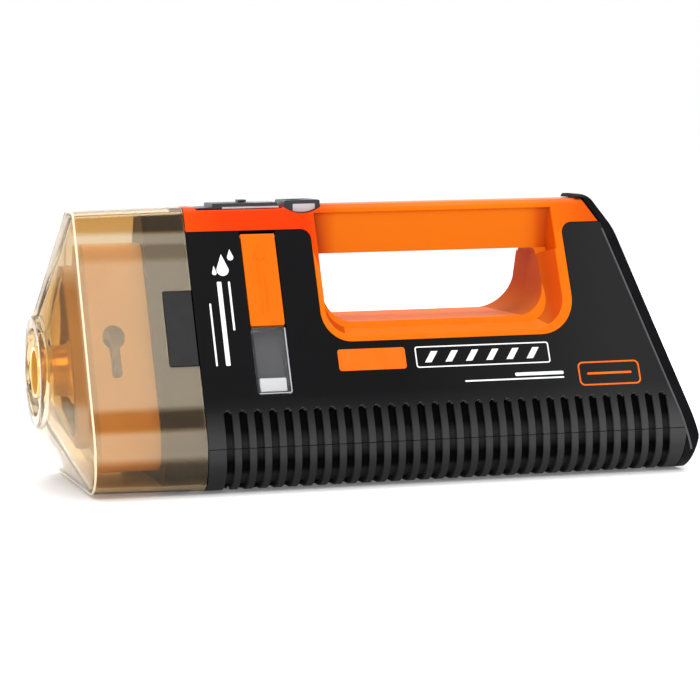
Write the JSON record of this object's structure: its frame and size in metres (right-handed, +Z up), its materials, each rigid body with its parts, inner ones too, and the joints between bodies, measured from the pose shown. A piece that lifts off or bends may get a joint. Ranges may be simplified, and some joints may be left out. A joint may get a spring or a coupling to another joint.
{
  "type": "fog machine",
  "caption": "Handheld fog machine with an orange grip through a black ribbed tent-shaped body and an amber push-on nozzle cap over the fog duct.",
  "frame": {"origin": "on the floor plane, under the middle of the machine", "axes": "+X from the nozzle towards the tail, +Z up, -Y the side with the filler and the level window"},
  "size_m": [0.29, 0.108, 0.1242],
  "materials": {
    "shell_black": "fine moulded grain",
    "gloss_black": "polished",
    "orange_plastic": "satin gloss",
    "amber_clear": "translucent amber, polished",
    "clear_window": "smoky clear",
    "milky_plastic": "milky",
    "white_plastic": "plain",
    "rubber_black": "matte",
    "brass": "turned",
    "steel": "plated",
    "aluminium": "machined",
    "felt": "needled",
    "board_green": "solder mask",
    "cell_wrap": "shrink wrap"
  },
  "bodies": {
    "housing": {"side_shell_left": "shell_black", "side_shell_right": "shell_black", "base_tray": "shell_black", "rear_cover": "shell_black", "front_collar": "shell_black", "battery_holder": "shell_black", "control_panel": "gloss_black", "display_glass": "gloss_black", "button_switch": "gloss_black", "power_module": "gloss_black", "pump_head": "gloss_black", "handle_left": "orange_plastic", "handle_right": "orange_plastic", "fog_duct": "amber_clear", "level_window": "clear_window", "oil_tank": "milky_plastic", "feed_hose": "milky_plastic", "delivery_hose": "milky_plastic", "heater_lead": "rubber_black", "foot_1": "rubber_black", "foot_2": "rubber_black", "foot_3": "rubber_black", "foot_4": "rubber_black", "outlet_tube": "brass", "spray_tip": "brass", "board_inductor": "brass", "heater_bracket": "steel", "button_spring": "steel", "pump_motor": "steel", "charge_socket": "steel", "flap_pin": "steel", "tray_screw_1": "steel", "tray_screw_2": "steel", "tray_screw_3": "steel", "tray_screw_4": "steel", "rear_screw_1": "steel", "rear_screw_2": "steel", "heater_core": "aluminium", "heater_jacket": "felt", "main_board": "board_green", "button_board": "board_green", "battery_cell_1": "cell_wrap", "battery_cell_2": "cell_wrap", "battery_cell_3": "cell_wrap", "battery_cell_4": "cell_wrap", "battery_cell_5": "cell_wrap", "battery_cell_6": "cell_wrap", "board_capacitor": "cell_wrap"},
    "nozzle_cap": {"nozzle_cap": "amber_clear"},
    "filler_flap": {"filler_flap": "orange_plastic", "filler_plug": "rubber_black"},
    "level_float": {"level_float": "white_plastic"},
    "slide_knob": {"slide_knob": "shell_black"},
    "fog_button": {"fog_button": "shell_black"},
    "charge_flap": {"charge_flap": "rubber_black"}
  },
  "joints": [
    {"name": "cap_pull", "type": "slide", "parent": "housing", "child": "nozzle_cap", "axis": [-1, 0, 0], "range_m": [0, 0.07]},
    {"name": "filler_hinge", "type": "hinge", "parent": "housing", "child": "filler_flap", "pos_m": [-0.0471, -0.01482, 0.10822], "axis": [-1, 0, 0], "range_deg": [0, 110]},
    {"name": "float_slide", "type": "slide", "parent": "housing", "child": "level_float", "axis": [0, 0.4079, 0.913], "range_m": [0, 0.0205]},
    {"name": "power_slide", "type": "slide", "parent": "housing", "child": "slide_knob", "axis": [-1, 0, 0], "range_m": [0, 0.008]},
    {"name": "fog_press", "type": "slide", "parent": "housing", "child": "fog_button", "axis": [0, 0, -1], "range_m": [0, 0.0022], "stiffness_N_per_m": 300, "springref_m": -0.003, "deforming": ["button_spring"]},
    {"name": "charge_hinge", "type": "hinge", "parent": "housing", "child": "charge_flap", "pos_m": [0.12735, 0, 0.07607], "axis": [0, -1, 0], "range_deg": [0, 120]}
  ]
}
